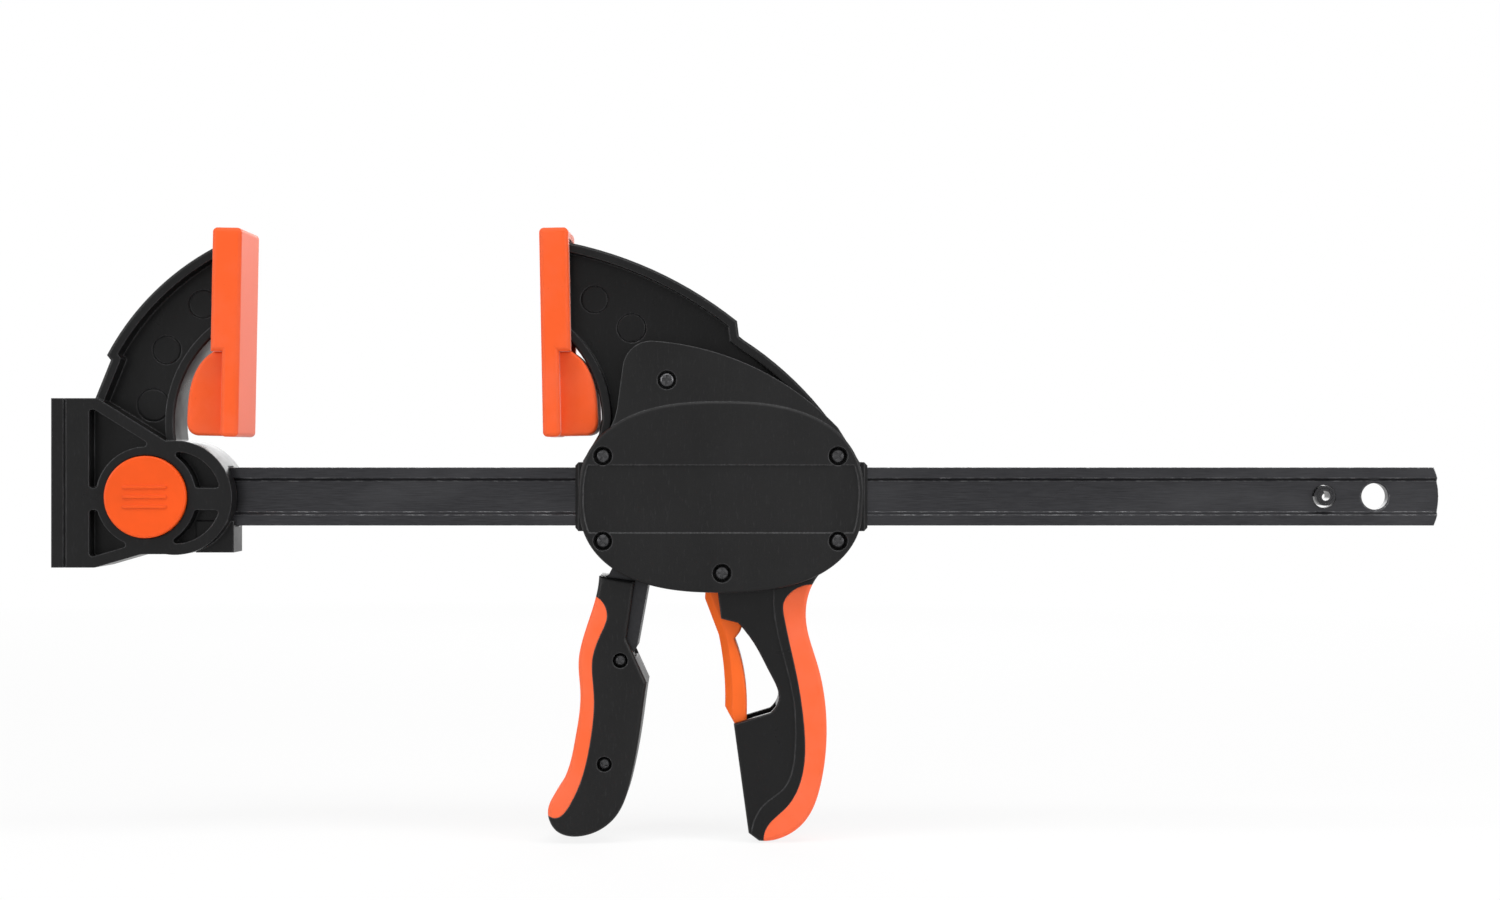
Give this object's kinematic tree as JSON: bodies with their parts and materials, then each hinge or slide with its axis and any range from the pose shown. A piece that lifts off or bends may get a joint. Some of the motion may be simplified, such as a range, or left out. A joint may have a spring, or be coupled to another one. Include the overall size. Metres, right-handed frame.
{
  "type": "quick release bar clamp",
  "caption": "One-handed bar clamp and spreader: steel bar, fixed jaw with lock button, sliding jaw with squeeze handle, grip and release trigger.",
  "frame": {"origin": "centre of the fixed pad's clamping face", "axes": "+X along the bar from the fixed jaw towards the sliding head, +Z from the bar towards the jaws' tips, +Y away from the side that shows the lock button"},
  "size_m": [0.5705, 0.038, 0.2514],
  "materials": {
    "bar_steel": "blackened steel, satin, rubbed on the flanges",
    "pin_steel": "ground steel",
    "spring_steel": "bright spring wire",
    "screw_steel": "blackened screws",
    "black_steel": "black painted steel",
    "black_plastic": "moulded black nylon, fine texture",
    "black_cover": "moulded black nylon, satin",
    "orange_plastic": "orange moulded plastic",
    "orange_pad": "orange soft plastic",
    "orange_grip": "orange soft overmoulding"
  },
  "bodies": {
    "bar_and_fixed_jaw": {"bar": "bar_steel", "stop_pin": "pin_steel", "fixed_jaw": "black_plastic", "fixed_pad": "orange_pad", "lock_spring": "spring_steel"},
    "lock": {"lock_button": "orange_plastic", "lock_yoke": "black_plastic", "lock_peg": "pin_steel"},
    "sliding_head": {"head_frame": "black_plastic", "cover_front": "black_cover", "cover_back": "black_cover", "cover_screws_front": "screw_steel", "cover_screws_back": "screw_steel", "moving_pad": "orange_pad", "grip_overmould": "orange_grip", "handle_pivot_pin": "pin_steel", "drive_spring": "spring_steel", "brake_spring": "spring_steel"},
    "squeeze_handle": {"drive_lever": "black_steel", "handle_shell_front": "black_cover", "handle_shell_back": "black_cover", "handle_overmould_front": "orange_grip", "handle_overmould_back": "orange_grip", "handle_screws": "screw_steel"},
    "plates": {"drive_plates": "pin_steel"},
    "release": {"brake_plate": "pin_steel", "release_trigger": "orange_plastic"}
  },
  "joints": [
    {"name": "head_slide", "type": "slide", "parent": "bar_and_fixed_jaw", "child": "sliding_head", "axis": [1, 0, 0], "range_m": [-0.1207, 0.1841]},
    {"name": "handle_squeeze", "type": "hinge", "parent": "sliding_head", "child": "squeeze_handle", "pos_m": [0.165, 0, -0.0382], "axis": [0, -1, 0], "range_deg": [0, 15], "stiffness_Nm_per_rad": 3, "springref_deg": -3.44},
    {"name": "drive_plates_slide", "type": "slide", "parent": "sliding_head", "child": "plates", "axis": [1, 0, 0], "range_m": [0, 0.0034], "deforming": ["drive_spring"]},
    {"name": "release_pull", "type": "hinge", "parent": "sliding_head", "child": "release", "pos_m": [0.1985, 0, -0.0438], "axis": [0, -1, 0], "range_deg": [0, 4.6], "stiffness_Nm_per_rad": 2, "springref_deg": -3.44, "deforming": ["brake_spring"]},
    {"name": "lock_button_push", "type": "slide", "parent": "bar_and_fixed_jaw", "child": "lock", "axis": [0, 1, 0], "range_m": [0, 0.0054], "stiffness_N_per_m": 800, "springref_m": -0.003, "deforming": ["lock_spring"]}
  ],
  "couplings": [
    {"joint": "drive_plates_slide", "follows": "handle_squeeze", "m_per_rad": 0.01285}
  ]
}
